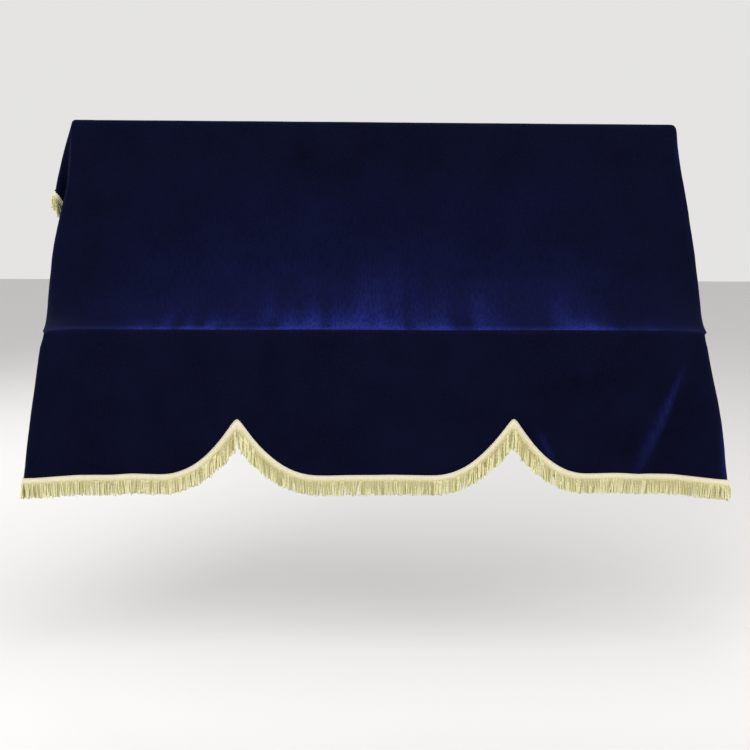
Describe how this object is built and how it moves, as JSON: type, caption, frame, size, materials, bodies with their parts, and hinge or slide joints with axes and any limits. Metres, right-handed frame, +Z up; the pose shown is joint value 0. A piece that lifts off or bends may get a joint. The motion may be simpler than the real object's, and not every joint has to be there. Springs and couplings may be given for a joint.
{
  "type": "piano cover",
  "caption": "Draped velvet piano cover, hollow, with a scalloped front hem and gold fringe along the front and side edges.",
  "frame": {"origin": "the underside of the flat top, at its middle", "axes": "+Z up, +X to the right seen from the front, -Y to the front, where the scalloped hem hangs"},
  "size_m": [1.7388, 0.6591, 0.9414],
  "materials": {
    "velvet": "dark navy velvet with a royal blue sheen where the pile turns to the light",
    "gold_fringe": "pale gold rayon yarn, a cream gold woven header and twisted strands"
  },
  "bodies": {
    "root": {"cover_cloth": "velvet", "fringe_front": "gold_fringe", "fringe_left": "gold_fringe", "fringe_right": "gold_fringe"}
  },
  "joints": []
}
